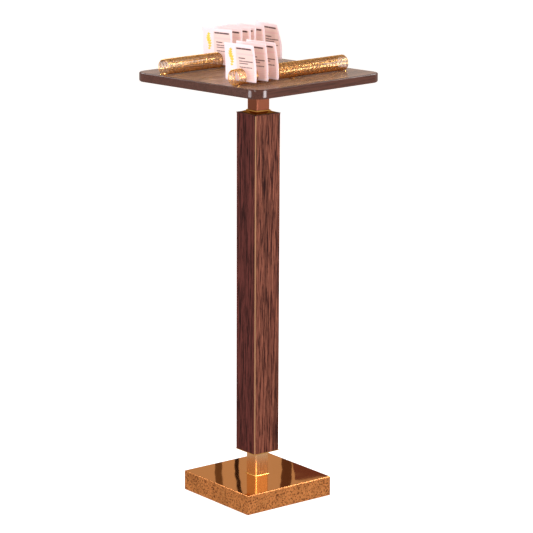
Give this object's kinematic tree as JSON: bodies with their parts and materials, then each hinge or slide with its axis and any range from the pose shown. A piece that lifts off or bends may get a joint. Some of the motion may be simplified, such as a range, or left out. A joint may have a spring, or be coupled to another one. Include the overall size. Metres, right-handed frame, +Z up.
{
  "type": "floor-standing card display stand",
  "caption": "Square walnut column on a weighted brass base, with a swivelling square top whose two brass coils hold upright cards.",
  "frame": {"origin": "centre of the stand's footprint on the floor, under the column's axis", "axes": "+Z up the column; +Y along the coils, away from the cards' printed faces, so -Y is the front; +X to the viewer's right from the front"},
  "size_m": [0.49, 0.49, 1.331],
  "materials": {
    "felt": "pressed felt",
    "zinc_steel": "zinc plated",
    "inner_wood": "unfinished board",
    "base_brass": "polished top, stippled sides",
    "neck_brass": "satin",
    "polished_brass": "polished",
    "coil_brass": "bright drawn wire",
    "column_walnut": "dark walnut, satin",
    "top_walnut": "walnut, gloss",
    "edge_walnut": "walnut, satin",
    "nylon": "natural nylon",
    "card_paper": "coated card"
  },
  "bodies": {
    "stand": {"floor_pad": "felt", "ballast_plate": "zinc_steel", "base_block": "inner_wood", "base_shell": "base_brass", "ballast_screws": "zinc_steel", "tie_rod": "zinc_steel", "lower_washer": "zinc_steel", "lower_nut": "zinc_steel", "upper_washer": "zinc_steel", "upper_nut": "zinc_steel", "lower_neck": "neck_brass", "lower_bead": "polished_brass", "foot_plate": "polished_brass", "column_panel_front": "column_walnut", "column_panel_right": "column_walnut", "column_panel_back": "column_walnut", "column_panel_left": "column_walnut", "lower_plug": "inner_wood", "upper_plug": "inner_wood", "column_cap": "column_walnut", "collar": "polished_brass", "upper_neck": "neck_brass", "upper_bead": "polished_brass", "neck_cap": "neck_brass", "glide_ring": "nylon"},
    "top": {"swivel_plate": "zinc_steel", "swivel_screws": "zinc_steel", "board_core": "inner_wood", "top_laminate": "top_walnut", "edge_band": "edge_walnut", "right_coil": "coil_brass", "right_clips": "coil_brass", "right_clip_screws": "polished_brass", "left_coil": "coil_brass", "left_clips": "coil_brass", "left_clip_screws": "polished_brass"},
    "right_card_1_body": {"right_card_1": "card_paper"},
    "right_card_2_body": {"right_card_2": "card_paper"},
    "right_card_3_body": {"right_card_3": "card_paper"},
    "left_card_1_body": {"left_card_1": "card_paper"},
    "left_card_2_body": {"left_card_2": "card_paper"},
    "left_card_3_body": {"left_card_3": "card_paper"},
    "left_card_4_body": {"left_card_4": "card_paper"},
    "left_card_5_body": {"left_card_5": "card_paper"},
    "left_card_6_body": {"left_card_6": "card_paper"}
  },
  "joints": [
    {"name": "top_swivel", "type": "hinge", "parent": "stand", "child": "top", "pos_m": [0, 0, 1.19], "axis": [0, 0, 1], "continuous": true},
    {"name": "right_card_1_lift", "type": "slide", "parent": "top", "child": "right_card_1_body", "axis": [0.0009, -0.0104, 0.9999], "range_m": [0, 0.06]},
    {"name": "right_card_2_lift", "type": "slide", "parent": "top", "child": "right_card_2_body", "axis": [0.0009, -0.0104, 0.9999], "range_m": [0, 0.06]},
    {"name": "right_card_3_lift", "type": "slide", "parent": "top", "child": "right_card_3_body", "axis": [0.0009, -0.0104, 0.9999], "range_m": [0, 0.06]},
    {"name": "left_card_1_lift", "type": "slide", "parent": "top", "child": "left_card_1_body", "axis": [0.0016, -0.0174, 0.9998], "range_m": [0, 0.06]},
    {"name": "left_card_2_lift", "type": "slide", "parent": "top", "child": "left_card_2_body", "axis": [-0.0006, 0.007, 1], "range_m": [0, 0.06]},
    {"name": "left_card_3_lift", "type": "slide", "parent": "top", "child": "left_card_3_body", "axis": [0.0009, -0.0104, 0.9999], "range_m": [0, 0.06]},
    {"name": "left_card_4_lift", "type": "slide", "parent": "top", "child": "left_card_4_body", "axis": [-0.0005, 0.0052, 1], "range_m": [0, 0.06]},
    {"name": "left_card_5_lift", "type": "slide", "parent": "top", "child": "left_card_5_body", "axis": [0.0008, -0.0087, 1], "range_m": [0, 0.06]},
    {"name": "left_card_6_lift", "type": "slide", "parent": "top", "child": "left_card_6_body", "axis": [0.0013, -0.0139, 0.9999], "range_m": [0, 0.06]}
  ]
}
